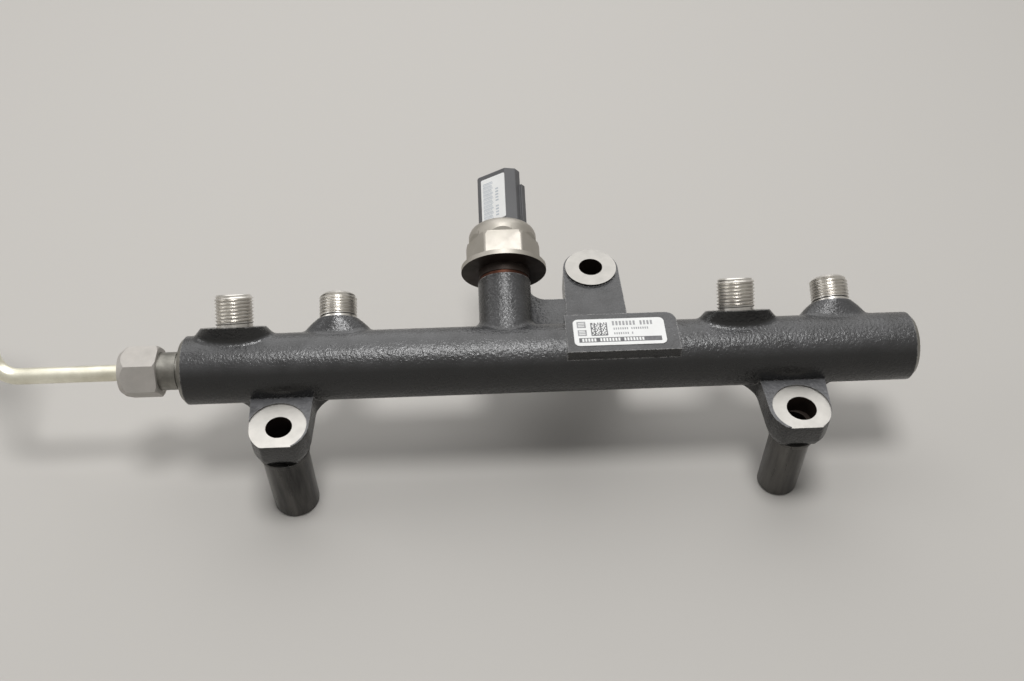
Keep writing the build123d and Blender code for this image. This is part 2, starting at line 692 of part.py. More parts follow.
# connector: round base held by the crimp, plug socket, key rib
def connector_outline(inset):
    """Outline of the connector, drawn in by a wall: rounded at one end, bevelled at the other."""
    with BuildSketch() as outline:
        Rectangle(connector_width - 2 * inset, connector_depth - 2 * inset)
        chamfer(outline.vertices().group_by(Axis.X)[-1], connector_bevel - inset * (2 - sqrt(2)))
        fillet(outline.vertices().group_by(Axis.X)[0], connector_corner - inset)
    return outline.sketch


o_ring_radius = o_ring_section / 2
o_ring_centre = (connector_base + connector_base_top) / 2
ring_path_radius = housing_bore / 2 - fit_gap - o_ring_radius
groove_floor = ring_path_radius - o_ring_radius - fit_gap
groove_half = o_ring_radius + o_ring_play
base_radius = housing_bore / 2 - connector_gap
stem_radius = housing_mouth / 2 - connector_gap
with BuildPart() as connector_body:
    with BuildSketch(section_plane(sensor_plane(0))):
        with BuildLine():
            Polyline((0, connector_base), (base_radius, connector_base),
                     (base_radius, o_ring_centre - groove_half), (groove_floor, o_ring_centre - groove_half),
                     (groove_floor, o_ring_centre + groove_half), (base_radius, o_ring_centre + groove_half),
                     (base_radius, connector_base_top), (stem_radius, connector_base_top),
                     (stem_radius, lip_top - connector_recess),
                     (0, lip_top - connector_recess), close=True)
        make_face()
    revolve(axis=sensor_axis)
    with BuildSketch(sensor_plane(connector_base_top, connector_turn)):
        add(connector_outline(0))
    extrude(amount=connector_top - connector_base_top)
    fillet(connector_body.faces().sort_by(sensor_axis)[-1].edges(), connector_end_round)
    with BuildSketch(sensor_plane(lip_top + connector_gap, connector_turn)):
        with Locations((connector_width / 2, key_rib_shift)):
            Rectangle(2 * key_rib_height, key_rib_width)
    extrude(amount=connector_reach - key_rib_end - connector_gap)
    with BuildSketch(sensor_plane(socket_bottom, connector_turn)):
        add(connector_outline(connector_wall))
    extrude(amount=connector_top - socket_bottom, mode=Mode.SUBTRACT)
    with BuildSketch(sensor_plane(connector_base, connector_turn)):
        with GridLocations(terminal_pitch, 0, 3, 1):
            Rectangle(terminal_width + 2 * fit_gap, terminal_thickness + 2 * fit_gap)
    extrude(amount=socket_bottom - connector_base, mode=Mode.SUBTRACT)
connector_body.part.label = "connector_body"
export_step(connector_body.part, "parts/connector_body.step")

with BuildPart() as connector_o_ring:
    with BuildSketch(section_plane(sensor_plane(0))):
        with Locations((ring_path_radius, o_ring_centre)):
            Circle(o_ring_radius)
    revolve(axis=sensor_axis)
connector_o_ring.part.label = "connector_o_ring"
export_step(connector_o_ring.part, "parts/connector_o_ring.step")

# ---------------------------------------------------------------- labels
with BuildPart() as rail_label:
    with BuildSketch(facet_plane):
        with Locations((rail_label_shift, 0)):
            RectangleRounded(rail_label_length, rail_label_width, rail_label_corner)
    extrude(amount=label_thickness)
rail_label.part.label = "rail_label"
export_step(rail_label.part, "parts/rail_label.step")

label_face = Plane(origin=connector_plane.origin + connector_plane.z_dir * (connector_top - sensor_label_drop)
                   + connector_plane.x_dir * sensor_label_shift
                   - connector_plane.y_dir * connector_depth / 2,
                   x_dir=connector_plane.x_dir, z_dir=-connector_plane.y_dir)
with BuildPart() as sensor_label:
    with BuildSketch(label_face):
        RectangleRounded(sensor_label_width, sensor_label_height, sensor_label_corner)
    extrude(amount=label_thickness)
sensor_label.part.label = "sensor_label"
export_step(sensor_label.part, "parts/sensor_label.step")
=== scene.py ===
import bpy
import bmesh
import json
from math import cos, hypot, pi, radians, sin
from mathutils import Matrix, Quaternion, Vector


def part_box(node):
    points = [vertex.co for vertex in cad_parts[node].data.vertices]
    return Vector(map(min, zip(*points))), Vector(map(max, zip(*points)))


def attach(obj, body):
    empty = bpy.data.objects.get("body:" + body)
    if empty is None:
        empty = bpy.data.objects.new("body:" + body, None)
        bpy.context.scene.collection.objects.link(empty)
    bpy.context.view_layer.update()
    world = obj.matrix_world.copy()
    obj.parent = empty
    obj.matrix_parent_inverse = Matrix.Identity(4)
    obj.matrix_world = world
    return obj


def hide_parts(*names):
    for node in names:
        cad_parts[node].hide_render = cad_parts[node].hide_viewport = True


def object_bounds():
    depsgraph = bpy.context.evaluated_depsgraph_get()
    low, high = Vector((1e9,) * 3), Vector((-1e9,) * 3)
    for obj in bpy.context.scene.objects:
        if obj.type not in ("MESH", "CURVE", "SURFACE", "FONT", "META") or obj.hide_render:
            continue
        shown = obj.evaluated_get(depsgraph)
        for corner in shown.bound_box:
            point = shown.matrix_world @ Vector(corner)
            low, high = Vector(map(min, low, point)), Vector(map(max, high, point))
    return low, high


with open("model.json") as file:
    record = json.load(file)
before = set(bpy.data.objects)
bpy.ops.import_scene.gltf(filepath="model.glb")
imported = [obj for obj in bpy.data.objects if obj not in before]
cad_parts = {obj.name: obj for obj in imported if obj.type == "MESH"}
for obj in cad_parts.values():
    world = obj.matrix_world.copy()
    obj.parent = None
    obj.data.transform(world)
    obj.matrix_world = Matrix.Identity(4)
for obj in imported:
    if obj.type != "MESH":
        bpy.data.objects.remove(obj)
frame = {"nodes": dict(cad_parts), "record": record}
cadLow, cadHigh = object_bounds()
scene = bpy.context.scene
mounts = {m["name"]: m for m in frame["record"]["mounts"]}
mm = 0.001
print("frame loaded")

view = {
    "place": (-0.01936, -0.23377, 0.34073),
    "towards": (0.02739, 0.67439, -0.73787),
    "roll": -0.26,
    "lens": 37.52,  # on a 36 mm wide sensor
}
lamps = {  # place, size, watts
    "overhead": ((0.0, -0.03, 1.19), 0.33, 6.8),
    "behind": ((0.0, 0.85, 1.00), 1.60, 9.0),
    "left": ((-0.95, 0.10, 0.55), 0.50, 1.5),
}
room = {
    "light": (0.22, 0.22, 0.22),
    "floor": (0.52, 0.50, 0.47),
    "floorRough": 0.7,
    "backdrop": (0.50, 0.485, 0.46),
    "floorSize": 60.0,
    "fade": (0.5, 1.2),  # from here to there the floor runs out into the backdrop
}


def addNode(tree, kind, links=None, **values):
    # values are settings of the node, or its sockets by name with _ for a blank
    node = tree.nodes.new(kind)
    for name, value in values.items():
        if hasattr(node, name):
            setattr(node, name, value)
        else:
            node.inputs[name.replace("_", " ")].default_value = value
    for name, source in (links or {}).items():
        tree.links.new(source, node.inputs[name])
    return node


def product(tree, first, second):
    node = addNode(tree, "ShaderNodeMath", operation="MULTIPLY")
    tree.links.new(first, node.inputs[0])
    tree.links.new(second, node.inputs[1])
    return node.outputs["Value"]


def seenRays(tree):
    # 1 for rays that show the backdrop: straight, mirrored or through glass
    path = addNode(tree, "ShaderNodeLightPath")
    total = path.outputs["Is Camera Ray"]
    for label in ("Is Glossy Ray", "Is Transmission Ray"):
        add = addNode(tree, "ShaderNodeMath", operation="ADD", use_clamp=True)
        tree.links.new(total, add.inputs[0])
        tree.links.new(path.outputs[label], add.inputs[1])
        total = add.outputs["Value"]
    return total


def makeCamera():
    data = bpy.data.cameras.new("camera")
    data.lens = view["lens"]
    data.sensor_width = 36.0
    data.clip_start = 0.01
    camera = bpy.data.objects.new("camera", data)
    camera.location = view["place"]
    camera.rotation_mode = "QUATERNION"
    aim = Vector(view["towards"]).to_track_quat("-Z", "Y")
    camera.rotation_quaternion = aim @ Quaternion((0, 0, 1), radians(view["roll"]))
    scene.collection.objects.link(camera)
    scene.camera = camera


def makeLamps():
    target = (cadLow + cadHigh) / 2
    for name, (place, size, watts) in lamps.items():
        data = bpy.data.lights.new(name, "AREA")
        data.shape = "DISK"
        data.size = size
        data.energy = watts
        lamp = bpy.data.objects.new(name, data)
        lamp.location = place
        lamp.rotation_mode = "QUATERNION"
        lamp.rotation_quaternion = (target - Vector(place)).to_track_quat("-Z", "Y")
        scene.collection.objects.link(lamp)
    world = bpy.data.worlds.new("room")
    world.use_nodes = True
    tree = world.node_tree
    seen = addNode(tree, "ShaderNodeMix", {"Factor": seenRays(tree)}, data_type="RGBA")
    seen.inputs["A"].default_value = (*room["light"], 1)
    seen.inputs["B"].default_value = (*room["backdrop"], 1)
    tree.links.new(seen.outputs["Result"], tree.nodes["Background"].inputs["Color"])
    scene.world = world


def makeFloor():
    bm = bmesh.new()
    bmesh.ops.create_grid(bm, x_segments=1, y_segments=1, size=room["floorSize"] / 2)
    mesh = bpy.data.meshes.new("floor")
    bm.to_mesh(mesh)
    bm.free()
    floor = bpy.data.objects.new("floor", mesh)
    scene.collection.objects.link(floor)
    material = bpy.data.materials.new("floor")
    material.use_nodes = True
    tree = material.node_tree
    shader = tree.nodes["Principled BSDF"]
    shader.inputs["Base Color"].default_value = (*room["floor"], 1)
    shader.inputs["Roughness"].default_value = room["floorRough"]
    where = addNode(tree, "ShaderNodeTexCoord").outputs["Object"]
    far = addNode(tree, "ShaderNodeVectorMath", operation="LENGTH")
    tree.links.new(where, far.inputs[0])
    fade = addNode(tree, "ShaderNodeMapRange", {"Value": far.outputs["Value"]},
                   interpolation_type="SMOOTHSTEP", From_Min=room["fade"][0], From_Max=room["fade"][1])
    glow = addNode(tree, "ShaderNodeEmission", Color=(*room["backdrop"], 1))
    both = addNode(tree, "ShaderNodeMixShader",
                   {"Fac": product(tree, fade.outputs["Result"], seenRays(tree))})
    tree.links.new(shader.outputs["BSDF"], both.inputs[1])
    tree.links.new(glow.outputs["Emission"], both.inputs[2])
    tree.links.new(both.outputs["Shader"], tree.nodes["Material Output"].inputs["Surface"])
    mesh.materials.append(material)


scene.view_settings.view_transform = "Standard"
makeCamera()
makeLamps()
makeFloor()
print("camera, lamps and floor ready")


def newGroup(name, inputs, outputs):
    group = bpy.data.node_groups.new(name, "ShaderNodeTree")
    for label, value in inputs.items():
        kind = "NodeSocketFloat" if value is not None else "NodeSocketVector"
        socket = group.interface.new_socket(label, in_out="INPUT", socket_type=kind)
        if value is not None:
            socket.default_value = value
    for label in outputs:
        group.interface.new_socket(label, in_out="OUTPUT", socket_type="NodeSocketFloat")
    return group, group.nodes.new("NodeGroupInput"), group.nodes.new("NodeGroupOutput")


def groupNoise(group, start, scale, detail, roughness):
    noise = addNode(group, "ShaderNodeTexNoise", {"Vector": start.outputs["Vector"],
                                                  "Scale": start.outputs[scale]},
                    Detail=detail, Roughness=roughness)
    return noise.outputs["Fac"]


def makeMottle():
    # slow patches between two values, for colour and gloss that is never quite even
    group, start, end = newGroup("mottle", {"Vector": None, "Scale": 60, "Low": 0.3, "High": 0.5},
                                 ["Value"])
    noise = groupNoise(group, start, "Scale", 6, 0.6)
    spread = addNode(group, "ShaderNodeMapRange",
                     {"Value": noise, "To Min": start.outputs["Low"], "To Max": start.outputs["High"]},
                     From_Min=0.3, From_Max=0.7)
    group.links.new(spread.outputs["Result"], end.inputs["Value"])
    return group


def makeGrain():
    # height of a grainy surface: a coarse skin with a fine grain on it
    group, start, end = newGroup("grain", {"Vector": None, "Coarse": 250, "Fine": 1500, "Share": 0.5},
                                 ["Height"])
    coarse = groupNoise(group, start, "Coarse", 3, 0.5)
    fine = groupNoise(group, start, "Fine", 2, 0.6)
    both = addNode(group, "ShaderNodeMix", {"Factor": start.outputs["Share"], "A": coarse, "B": fine},
                   data_type="FLOAT")
    group.links.new(both.outputs["Result"], end.inputs["Height"])
    return group


def makeRings():
    # fine turning marks round an axis along Z: the vector's X and Y count from that axis
    group, start, end = newGroup("rings", {"Vector": None, "Spacing": 0.3 * mm}, ["Height"])
    parts = addNode(group, "ShaderNodeSeparateXYZ", {"Vector": start.outputs["Vector"]})
    flat = addNode(group, "ShaderNodeCombineXYZ", {"X": parts.outputs["X"], "Y": parts.outputs["Y"]})
    away = addNode(group, "ShaderNodeVectorMath", {"Vector": flat.outputs["Vector"]}, operation="LENGTH")
    turns = addNode(group, "ShaderNodeMath", operation="DIVIDE")
    group.links.new(away.outputs["Value"], turns.inputs[0])
    group.links.new(start.outputs["Spacing"], turns.inputs[1])
    phase = addNode(group, "ShaderNodeMath", operation="MULTIPLY")
    group.links.new(turns.outputs["Value"], phase.inputs[0])
    phase.inputs[1].default_value = 2 * pi
    wave = addNode(group, "ShaderNodeMath", operation="SINE")
    group.links.new(phase.outputs["Value"], wave.inputs[0])
    group.links.new(wave.outputs["Value"], end.inputs["Height"])
    return group


def makeDustAndTopLight():
    # share of a thin dust film that also paints light onto faces that look up: it lies in patches on
    # them
    group, start, end = newGroup("dustAndTopLight", {"Vector": None, "Facing": None, "Scale": 120, "Amount": 0.5},
                                 ["Share"])
    up = addNode(group, "ShaderNodeSeparateXYZ", {"Vector": start.outputs["Facing"]})
    slope = addNode(group, "ShaderNodeMapRange", {"Value": up.outputs["Z"]},
                    interpolation_type="SMOOTHSTEP", From_Min=0.55, From_Max=0.95)
    spread = addNode(group, "ShaderNodeMapRange", {"Value": groupNoise(group, start, "Scale", 5, 0.65)},
                     From_Min=0.3, From_Max=0.65, To_Min=0.35, To_Max=1.0)
    share = product(group, slope.outputs["Result"], spread.outputs["Result"])
    group.links.new(product(group, share, start.outputs["Amount"]), end.inputs["Share"])
    return group


def makeEdgeWearAndHighlight():
    # share of worn surface, partly a painted edge highlight: where a rounded normal leaves the true one,
    # broken up by a noise
    group, start, end = newGroup("edgeWearAndHighlight", {"Vector": None, "Facing": None, "Rounded": None,
                                              "Scale": 900, "Amount": 0.5}, ["Share"])
    turned = addNode(group, "ShaderNodeVectorMath", operation="DISTANCE")
    group.links.new(start.outputs["Facing"], turned.inputs[0])
    group.links.new(start.outputs["Rounded"], turned.inputs[1])
    edge = addNode(group, "ShaderNodeMapRange", {"Value": turned.outputs["Value"]},
                   From_Min=0.12, From_Max=0.5)
    broken = addNode(group, "ShaderNodeMapRange", {"Value": groupNoise(group, start, "Scale", 4, 0.7)},
                     From_Min=0.42, From_Max=0.62)
    share = product(group, edge.outputs["Result"], broken.outputs["Result"])
    group.links.new(product(group, share, start.outputs["Amount"]), end.inputs["Share"])
    return group


mottle = makeMottle()
grain = makeGrain()
rings = makeRings()
dustAndTopLight = makeDustAndTopLight()
edgeWearAndHighlight = makeEdgeWearAndHighlight()
print("shared effects ready")

glossPatches = 2.3  # patches of gloss are this many times finer than those of colour


def coverWith(tree, share, colour, top):
    cover = addNode(tree, "ShaderNodeMix", {"Factor": share, "A": colour}, data_type="RGBA",
                    B=(*top, 1))
    return cover.outputs["Result"]


def weatherAndPaintedLight(tree, look, where, place, colour):
    # rubbed edges with a painted edge highlight, and a dust film that also paints light on faces that
    # look up; it lies thicker on the front lugs, lightening their tops
    facing = addNode(tree, "ShaderNodeNewGeometry").outputs["Normal"]
    rounded = addNode(tree, "ShaderNodeBevel", samples=4, Radius=look["edge"]).outputs["Normal"]
    wearAndHighlight = addNode(tree, "ShaderNodeGroup", {"Vector": where, "Facing": facing, "Rounded": rounded},
                   node_tree=edgeWearAndHighlight, Amount=look["wearAndHighlight"])
    colour = coverWith(tree, wearAndHighlight.outputs["Share"], colour, look["rubbedAndHighlight"])
    amount = addNode(tree, "ShaderNodeMapRange", {"Value": place.outputs["Y"]},
                     From_Min=look["dustAndTopLightFrom"][0], From_Max=look["dustAndTopLightFrom"][1],
                     To_Min=look["dustAndTopLightAmount"][0], To_Max=look["dustAndTopLightAmount"][1])
    filmAndTopLight = addNode(tree, "ShaderNodeGroup", {"Vector": where, "Facing": facing,
                                             "Amount": amount.outputs["Result"]},
                   node_tree=dustAndTopLight, Scale=look["patches"])
    return coverWith(tree, filmAndTopLight.outputs["Share"], colour, look["dustAndTopLight"])


def startFinish(name, look):
    # a Principled surface whose colour and gloss vary over the piece, with a grain on it
    material = bpy.data.materials.new(name)
    material.use_nodes = True
    tree = material.node_tree
    shader = tree.nodes["Principled BSDF"]
    shader.inputs["Metallic"].default_value = look["metal"]
    shader.inputs["Specular IOR Level"].default_value = look.get("specular", 0.5)
    where = addNode(tree, "ShaderNodeTexCoord").outputs["Object"]
    place = addNode(tree, "ShaderNodeSeparateXYZ", {"Vector": where})
    drawn = where
    if "stretch" in look:  # marks drawn out along the piece
        drawn = addNode(tree, "ShaderNodeMapping", {"Vector": where},
                        Scale=look["stretch"]).outputs["Vector"]
    patches = addNode(tree, "ShaderNodeGroup", {"Vector": drawn}, node_tree=mottle,
                      Scale=look["patches"], Low=0.0, High=1.0)
    tint = addNode(tree, "ShaderNodeMix", {"Factor": patches.outputs["Value"]}, data_type="RGBA",
                   A=(*look["colour"], 1), B=(*look["second"], 1))
    colour = tint.outputs["Result"]
    if "dustAndTopLight" in look:
        colour = weatherAndPaintedLight(tree, look, where, place, colour)
    tree.links.new(colour, shader.inputs["Base Color"])
    gloss = addNode(tree, "ShaderNodeGroup", {"Vector": drawn}, node_tree=mottle,
                    Scale=look["patches"] * glossPatches, Low=look["rough"][0], High=look["rough"][1])
    tree.links.new(gloss.outputs["Value"], shader.inputs["Roughness"])
    surface = addNode(tree, "ShaderNodeGroup", {"Vector": where}, node_tree=grain,
                      Coarse=look["coarse"], Fine=look["fine"], Share=look["share"])
    bump = addNode(tree, "ShaderNodeBump", {"Height": surface.outputs["Height"]},
                   Strength=look["bump"], Distance=look["depth"])
    if "calm" in look:  # the skin is smoother towards the left end
        strength = addNode(tree, "ShaderNodeMapRange", {"Value": place.outputs["X"]},
                           From_Min=look["calm"][0], From_Max=look["calm"][1],
                           To_Min=look["calm"][2], To_Max=look["bump"])
        tree.links.new(strength.outputs["Result"], bump.inputs["Strength"])
    tree.links.new(bump.outputs["Normal"], shader.inputs["Normal"])
    return material, tree, shader, where, bump


finishes = {
    "blackPaint": {  # satin paint on a rough forging
        "colour": (0.004, 0.004, 0.0042), "second": (0.008, 0.008, 0.0082), "metal": 0.0,
        "specular": 0.6, "rough": (0.21, 0.32), "patches": 90, "coarse": 900, "fine": 2400,
        "share": 0.2, "bump": 1.0, "depth": 0.34 * mm,
        "calm": (-0.13, 0.0, 0.5),  # from x to x, and the bump at the first
        # the dust colour also paints light on up-facing faces, heaviest on the front lugs' tops
        "dustAndTopLight": (0.13, 0.13, 0.135), "dustAndTopLightAmount": (1.3, 0.5), "dustAndTopLightFrom": (10 * mm, 16 * mm),
        # rubbed paint on the edges, lightened partly as a painted edge highlight
        "edge": 0.6 * mm, "wearAndHighlight": 1.6, "rubbedAndHighlight": (0.36, 0.35, 0.34),
    },
    "threadSteel": {
        "colour": (0.76, 0.74, 0.70), "second": (0.56, 0.54, 0.51), "metal": 1.0,
        "rough": (0.28, 0.42), "patches": 160, "coarse": 900, "fine": 4000, "share": 0.5,
        "bump": 0.12, "depth": 0.05 * mm,
    },
    "darkSteel": {  # phosphated sleeves, blotched, with lighter upright streaks that are partly painted reflection
        "colour": (0.016, 0.015, 0.014), "second": (0.125, 0.119, 0.110), "metal": 0.55,
        "rough": (0.24, 0.42), "stretch": (1, 1, 0.12), "patches": 190, "coarse": 500, "fine": 2600,
        "share": 0.6, "bump": 0.15, "depth": 0.08 * mm,
    },
    "zincPipe": {
        "colour": (0.92, 0.90, 0.78), "second": (0.60, 0.57, 0.45), "metal": 1.0,
        "rough": (0.34, 0.46), "patches": 70, "coarse": 500, "fine": 2600, "share": 0.5,
        "bump": 0.10, "depth": 0.08 * mm,
    },
    "zincNut": {
        "colour": (0.50, 0.475, 0.445), "second": (0.42, 0.40, 0.375), "metal": 0.55,
        "rough": (0.52, 0.66), "patches": 140, "coarse": 700, "fine": 3200, "share": 0.6,
        "bump": 0.18, "depth": 0.06 * mm,
    },
    "sensorSteel": {
        "colour": (0.44, 0.415, 0.38), "second": (0.39, 0.37, 0.33), "metal": 1.0,
        "rough": (0.49, 0.56), "patches": 130, "coarse": 500, "fine": 2400, "share": 0.5,
        "bump": 0.08, "depth": 0.06 * mm,
    },
    # copper darkened to a deep brown as painted shade under the sensor's flange
    "copper": {
        "colour": (0.13, 0.050, 0.032), "second": (0.05, 0.026, 0.019), "metal": 1.0,
        "rough": (0.40, 0.55), "patches": 200, "coarse": 600, "fine": 2400, "share": 0.5,
        "bump": 0.10, "depth": 0.05 * mm,
    },
    "paintedShadeSteel": {  # dark brown, painted shade: port and flange under the sensor, and the bores
        "colour": (0.022, 0.015, 0.012), "second": (0.050, 0.036, 0.029), "metal": 0.6,
        "rough": (0.42, 0.58), "patches": 120, "coarse": 600, "fine": 2400, "share": 0.5,
        "bump": 0.15, "depth": 0.06 * mm,
    },
    "plainSteel": {
        "colour": (0.52, 0.50, 0.47), "second": (0.42, 0.40, 0.37), "metal": 1.0,
        "rough": (0.28, 0.42), "patches": 180, "coarse": 700, "fine": 3200, "share": 0.5,
        "bump": 0.10, "depth": 0.05 * mm,
    },
    "endSteel": {  # turned ends of the tube, gone dull
        "colour": (0.34, 0.33, 0.30), "second": (0.16, 0.155, 0.14), "metal": 1.0,
        "rough": (0.34, 0.50), "patches": 140, "coarse": 700, "fine": 3200, "share": 0.5,
        "bump": 0.12, "depth": 0.05 * mm,
    },
    "mouldedPlastic": {
        "colour": (0.080, 0.080, 0.083), "second": (0.098, 0.098, 0.101), "metal": 0.0,
        "rough": (0.42, 0.54), "patches": 100, "coarse": 1200, "fine": 5000, "share": 0.5,
        "bump": 0.18, "depth": 0.04 * mm,
    },
    "contactMetal": {
        "colour": (0.66, 0.60, 0.46), "second": (0.56, 0.50, 0.38), "metal": 1.0,
        "rough": (0.22, 0.34), "patches": 300, "coarse": 900, "fine": 4000, "share": 0.5,
        "bump": 0.05, "depth": 0.03 * mm,
    },
    "boardGreen": {
        "colour": (0.030, 0.13, 0.060), "second": (0.045, 0.17, 0.080), "metal": 0.0,
        "rough": (0.35, 0.45), "patches": 300, "coarse": 900, "fine": 4000, "share": 0.5,
        "bump": 0.08, "depth": 0.03 * mm,
    },
    "sealRubber": {
        "colour": (0.014, 0.014, 0.014), "second": (0.024, 0.024, 0.024), "metal": 0.0,
        "rough": (0.55, 0.70), "patches": 300, "coarse": 900, "fine": 4000, "share": 0.5,
        "bump": 0.10, "depth": 0.04 * mm,
    },
    "labelFilm": {
        "colour": (0.82, 0.82, 0.805), "second": (0.76, 0.76, 0.745), "metal": 0.0,
        "rough": (0.35, 0.48), "patches": 160, "coarse": 500, "fine": 2400, "share": 0.4,
        "bump": 0.06, "depth": 0.05 * mm,
    },
    "labelInk": {
        "colour": (0.075, 0.075, 0.080), "second": (0.16, 0.16, 0.165), "metal": 0.0,
        "rough": (0.40, 0.55), "patches": 700, "coarse": 900, "fine": 4000, "share": 0.4,
        "bump": 0.05, "depth": 0.03 * mm,
    },
    "greyInk": {
        "colour": (0.24, 0.24, 0.245), "second": (0.40, 0.40, 0.405), "metal": 0.0,
        "rough": (0.40, 0.55), "patches": 800, "coarse": 900, "fine": 4000, "share": 0.4,
        "bump": 0.05, "depth": 0.03 * mm,
    },
    "paleInk": {
        "colour": (0.44, 0.47, 0.50), "second": (0.54, 0.57, 0.60), "metal": 0.0,
        "rough": (0.40, 0.55), "patches": 500, "coarse": 900, "fine": 4000, "share": 0.4,
        "bump": 0.05, "depth": 0.03 * mm,
    },
}
machined = {  # seats faced by a cutter, with its rings round each bolt
    # each seat's colours are scaled by its own level, painted light and shade
    "seatLightLevels": {"seatLeft": 1.2, "seatRight": 1.12, "seatRear": 0.9},
    "colour": (0.47, 0.455, 0.43), "second": (0.40, 0.39, 0.37), "metal": 1.0,
    "rough": (0.40, 0.52), "patches": 160, "coarse": 700, "fine": 3000, "share": 0.5,
    "bump": 0.10, "depth": 0.05 * mm,
    "ringSpacing": 0.35 * mm, "ringBump": 0.25, "ringDepth": 0.010 * mm,
}


def makeSeatFinish(name, centre):
    # scales the seat's colours by its painted light level
    lightLevel = machined["seatLightLevels"][name]
    litColours = {part: tuple(level * lightLevel for level in machined[part]) for part in ("colour", "second")}
    material, tree, shader, where, bump = startFinish(name, {**machined, **litColours})
    moved = addNode(tree, "ShaderNodeVectorMath", operation="SUBTRACT")
    tree.links.new(where, moved.inputs[0])
    moved.inputs[1].default_value = centre
    marks = addNode(tree, "ShaderNodeGroup", {"Vector": moved.outputs["Vector"]}, node_tree=rings,
                    Spacing=machined["ringSpacing"])
    cut = addNode(tree, "ShaderNodeBump",
                  {"Height": marks.outputs["Height"], "Normal": bump.outputs["Normal"]},
                  Strength=machined["ringBump"], Distance=machined["ringDepth"])
    tree.links.new(cut.outputs["Normal"], shader.inputs["Normal"])
    return material


materials = {name: startFinish(name, look)[0] for name, look in finishes.items()}
print(len(materials), "finishes ready")


def newPiece(name, bm, finish, body="rail"):
    mesh = bpy.data.meshes.new(name)
    bm.to_mesh(mesh)
    bm.free()
    piece = bpy.data.objects.new(name, mesh)
    scene.collection.objects.link(piece)
    if finish:
        mesh.materials.append(materials[finish])
    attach(piece, body)
    return piece


def cadCopy(node):
    # the node's triangles merged, its flat faces made whole again
    bm = bmesh.new()
    bm.from_mesh(frame["nodes"][node].data)
    bmesh.ops.remove_doubles(bm, verts=bm.verts, dist=0.0005 * mm)
    bmesh.ops.dissolve_limit(bm, angle_limit=radians(0.4), verts=bm.verts, edges=bm.edges)
    return bm


def shadeByAngle(bm, limit=32):
    for face in bm.faces:
        face.smooth = True
    for edge in bm.edges:
        edge.smooth = edge.is_manifold and edge.calc_face_angle() < radians(limit)


def roundEdges(piece, width, limit=30, segments=2):
    bevel = piece.modifiers.new("round edges", "BEVEL")
    bevel.width = width
    bevel.segments = segments
    bevel.limit_method = "ANGLE"
    bevel.angle_limit = radians(limit)
    bevel.use_clamp_overlap = True


def alongAxis(place, axis):
    return Matrix.Translation(place) @ axis.to_track_quat("Z", "Y").to_matrix().to_4x4()


near = {  # how close counts as the same place
    "height": 0.05 * mm,
    "level": 0.02 * mm,
    "radius": 0.1 * mm,
    "end": 0.01 * mm,
    "rim": 0.03 * mm,
}
thread = {
    "pitch": 1.25 * mm,
    "depth": 0.72 * mm,
    "crest": 0.12,  # flat share of the pitch
    "steps": 48,  # round one turn
    "core": 5.6 * mm,  # radius that the stud shrinks to under the thread
    "gap": 0.05 * mm,  # between the core and the inside of the turns
    "chamfer": 1.0 * mm,
    "relief": 6.4 * mm,  # radius of the neck
    "neck": 1.9 * mm,  # its length, and how far the last turns run over it
    "runOut": 1.4 * mm,
    "spareTurns": 3,  # cut away again at both ends
    "merge": 0.002 * mm,
}


def setRadius(vert, radius):
    share = radius / hypot(vert.co.x, vert.co.y)
    vert.co.x *= share
    vert.co.y *= share


def clampRadius(bm, limit):
    for vert in bm.verts:
        most = limit(vert.co.z)
        if hypot(vert.co.x, vert.co.y) > most:
            setRadius(vert, most)


def makeThread(name, mount):
    radius = mount["dims"]["r_mm"] * mm
    length = mount["dims"]["length_mm"] * mm + thread["chamfer"] + thread["runOut"]
    axis = Vector(mount["axis"])
    base = Vector(mount["pos_m"]) - axis * (mount["dims"]["length_mm"] * mm / 2 + thread["runOut"])
    pitch, root = thread["pitch"], radius - thread["depth"]
    rise = (1 - thread["crest"]) / 2
    turns = int(length / pitch) + thread["spareTurns"]
    bm = bmesh.new()
    profile = [bm.verts.new((away, 0, (share - 1) * pitch)) for away, share in
               ((root, 0), (radius, rise), (radius, 1 - rise), (root, 1))]
    edges = [bm.edges.new(pair) for pair in zip(profile, profile[1:])]
    bmesh.ops.spin(bm, geom=profile + edges, cent=(0, 0, 0), axis=(0, 0, 1),
                   dvec=(0, 0, pitch / thread["steps"]), angle=2 * pi * turns,
                   steps=thread["steps"] * turns, use_merge=False, use_duplicate=False)
    bmesh.ops.remove_doubles(bm, verts=bm.verts, dist=thread["merge"])
    for height, outside in ((0, False), (length, True)):
        bmesh.ops.bisect_plane(bm, geom=bm.verts[:] + bm.edges[:] + bm.faces[:], dist=0.0005 * mm,
                               plane_co=(0, 0, height), plane_no=(0, 0, 1),
                               clear_outer=outside, clear_inner=not outside)
    clampRadius(bm, lambda z: min(radius, thread["relief"] + z, radius + length - thread["chamfer"] - z))
    rims = []
    for height in (0, length):
        rim = [edge for edge in bm.edges if edge.is_boundary
               and all(abs(vert.co.z - height) < near["end"] for vert in edge.verts)]
        made = bmesh.ops.extrude_edge_only(bm, edges=rim)["geom"]
        for vert in (item for item in made if isinstance(item, bmesh.types.BMVert)):
            setRadius(vert, thread["core"] + thread["gap"])
        rims += [item for item in made if isinstance(item, bmesh.types.BMEdge) and item.is_boundary]
    bmesh.ops.bridge_loops(bm, edges=rims)
    bmesh.ops.recalc_face_normals(bm, faces=bm.faces)
    shadeByAngle(bm)
    bmesh.ops.transform(bm, matrix=alongAxis(base, axis), verts=bm.verts)
    return newPiece(name, bm, "threadSteel")


outlets = {name: mount for name, mount in mounts.items() if name.startswith("outlet_")}
threads = [makeThread(name.replace("outlet_", "outletThread"), mount) for name, mount in outlets.items()]
print(len(threads), "threads cut")

